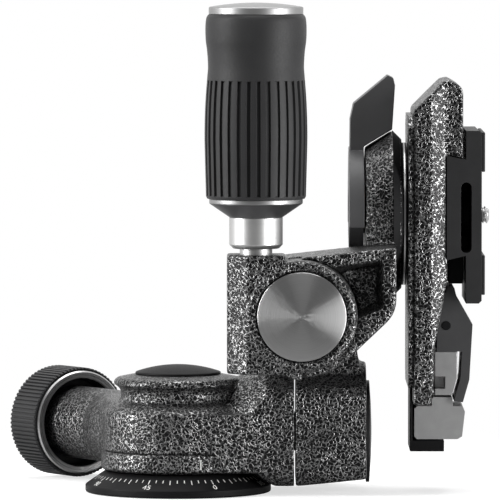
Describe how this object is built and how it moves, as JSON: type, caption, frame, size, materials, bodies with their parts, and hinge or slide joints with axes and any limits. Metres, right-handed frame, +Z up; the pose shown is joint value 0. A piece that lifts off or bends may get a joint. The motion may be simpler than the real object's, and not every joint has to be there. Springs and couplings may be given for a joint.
{
  "type": "fluid video head",
  "caption": "Tripod head with pan, side tilt and tilt axes, a twist-grip handle, a turning top platform and a sliding quick-release camera plate.",
  "frame": {"origin": "on the pan axis, in the mouth of the tripod thread on the underside of the base disc", "axes": "+Z up along the pan axis, +X along the side tilt axis towards the folded platform, -Y towards the handle"},
  "size_m": [0.1734, 0.1454, 0.1754],
  "materials": {
    "black_anodised": "satin black anodised",
    "hammertone": "hammertone lacquer, dark grey with pale flecks, on a light alloy casting",
    "black_plastic": "matte black moulded",
    "grip_rubber": "soft matte black",
    "satin_aluminium": "turned and satin anodised",
    "spun_aluminium": "spun face with fine rings",
    "grey_alloy": "matte dark grey anodised",
    "catch_alloy": "bead blasted, clear anodised",
    "steel": "turned bright",
    "bush_brass": "turned",
    "brake_pad": "pressed friction material"
  },
  "bodies": {
    "base": {"base_disc": "black_anodised", "tripod_bush": "steel", "base_screws": "steel", "pan_spindle": "steel", "pan_drum": "grey_alloy", "pan_nut": "steel"},
    "pan_body": {"pan_housing": "hammertone", "pan_ring": "hammertone", "pan_cap": "black_plastic", "pan_bushes": "bush_brass", "roll_shaft": "steel", "roll_drum": "grey_alloy", "roll_nut": "steel"},
    "pan_knob": {"pan_knob_grip": "grip_rubber", "pan_knob_ring": "satin_aluminium", "pan_knob_stem": "steel"},
    "pan_brake": {"pan_brake_shoe": "brake_pad"},
    "yoke": {"side_yoke": "hammertone", "roll_end_cap": "hammertone", "roll_bushes": "bush_brass", "tilt_bushes": "bush_brass"},
    "side_tilt_lock": {"roll_knob": "grip_rubber", "roll_knob_stem": "steel"},
    "side_tilt_brake": {"roll_brake_shoe": "brake_pad"},
    "tilt_body": {"tilt_arm": "hammertone", "far_cheek": "hammertone", "cheek_screws": "steel", "handle_bracket": "hammertone", "tilt_cap": "spun_aluminium", "far_cap": "black_plastic", "tilt_shaft": "steel", "tilt_drum": "grey_alloy", "tilt_nut": "steel", "top_bushes": "bush_brass", "slip_ring": "satin_aluminium"},
    "handle": {"handle_rod": "steel", "handle_neck": "satin_aluminium", "handle_core": "grey_alloy", "handle_collar": "satin_aluminium", "handle_grip": "grip_rubber", "handle_end_cap": "satin_aluminium"},
    "tilt_brake": {"tilt_brake_shoe": "brake_pad"},
    "top_lock": {"lock_lever": "black_plastic"},
    "top": {"platform": "hammertone", "platform_back_plate": "black_anodised", "platform_screws": "steel", "top_spindle": "steel", "top_nut": "steel", "hinge_block": "grey_alloy", "lever_pin": "steel", "catch_bracket": "black_anodised", "catch_pin": "steel", "catch_spring": "steel"},
    "jaw": {"movable_jaw": "grey_alloy"},
    "plate_lever": {"qr_lever": "grey_alloy", "lever_tongue": "catch_alloy"},
    "catch": {"safety_catch": "catch_alloy"},
    "plate": {"qr_plate": "grey_alloy", "plate_pads": "grip_rubber"},
    "screw": {"camera_screw": "steel"}
  },
  "joints": [
    {"name": "pan", "type": "hinge", "parent": "base", "child": "pan_body", "pos_m": [0, 0, 0.02], "axis": [0, 0, 1], "continuous": true},
    {"name": "pan_knob_turn", "type": "hinge", "parent": "pan_body", "child": "pan_knob", "pos_m": [0, 0, 0.0205], "axis": [-0.5592, 0.829, 0], "range_deg": [0, 90]},
    {"name": "pan_brake_slide", "type": "slide", "parent": "pan_body", "child": "pan_brake", "axis": [-0.5592, 0.829, 0], "range_m": [0, 0.0003125]},
    {"name": "side_tilt", "type": "hinge", "parent": "pan_body", "child": "yoke", "pos_m": [0.05, 0, 0.0215], "axis": [1, 0, 0], "range_deg": [-90, 20]},
    {"name": "side_tilt_lock_turn", "type": "hinge", "parent": "yoke", "child": "side_tilt_lock", "pos_m": [0.0525, 0.02, 0.0215], "axis": [0, 1, 0], "range_deg": [0, 90]},
    {"name": "side_tilt_brake_slide", "type": "slide", "parent": "yoke", "child": "side_tilt_brake", "axis": [0, 1, 0], "range_m": [0, 0.0003125]},
    {"name": "tilt", "type": "hinge", "parent": "yoke", "child": "tilt_body", "pos_m": [0.0438, 0, 0.066], "axis": [0, -1, 0], "range_deg": [0, 110]},
    {"name": "handle_twist", "type": "hinge", "parent": "tilt_body", "child": "handle", "pos_m": [0.0278, -0.0482, 0.1], "axis": [0, 0, 1], "range_deg": [0, 90]},
    {"name": "tilt_brake_slide", "type": "slide", "parent": "tilt_body", "child": "tilt_brake", "axis": [0, 0, 1], "range_m": [0, 0.0003125]},
    {"name": "top_lock_swing", "type": "hinge", "parent": "tilt_body", "child": "top_lock", "pos_m": [0.064, 0, 0.0993], "axis": [1, 0, 0], "range_deg": [-12, 12]},
    {"name": "top_turn", "type": "hinge", "parent": "tilt_body", "child": "top", "pos_m": [0.08, 0, 0.0993], "axis": [1, 0, 0], "continuous": true},
    {"name": "plate_lever_swing", "type": "hinge", "parent": "top", "child": "plate_lever", "pos_m": [0.0954, 0, 0.0601], "axis": [0, -1, 0], "range_deg": [0, 25]},
    {"name": "jaw_slide", "type": "slide", "parent": "top", "child": "jaw", "axis": [0, 0, -1], "range_m": [0, 0.0015]},
    {"name": "catch_press", "type": "slide", "parent": "top", "child": "catch", "axis": [0, 1, 0], "range_m": [0, 0.003], "stiffness_N_per_m": 900},
    {"name": "plate_slide", "type": "slide", "parent": "top", "child": "plate", "axis": [0, 1, 0], "range_m": [-0.01, 0.01]},
    {"name": "camera_screw_turn", "type": "hinge", "parent": "plate", "child": "screw", "pos_m": [0.105, 0, 0.0989], "axis": [1, 0, 0], "continuous": true}
  ],
  "couplings": [
    {"joint": "pan_brake_slide", "follows": "pan_knob_turn", "m_per_rad": 0.00019894},
    {"joint": "side_tilt_brake_slide", "follows": "side_tilt_lock_turn", "m_per_rad": 0.00019894},
    {"joint": "tilt_brake_slide", "follows": "handle_twist", "m_per_rad": 0.00019894},
    {"joint": "jaw_slide", "follows": "plate_lever_swing", "m_per_rad": 0.0034377}
  ]
}
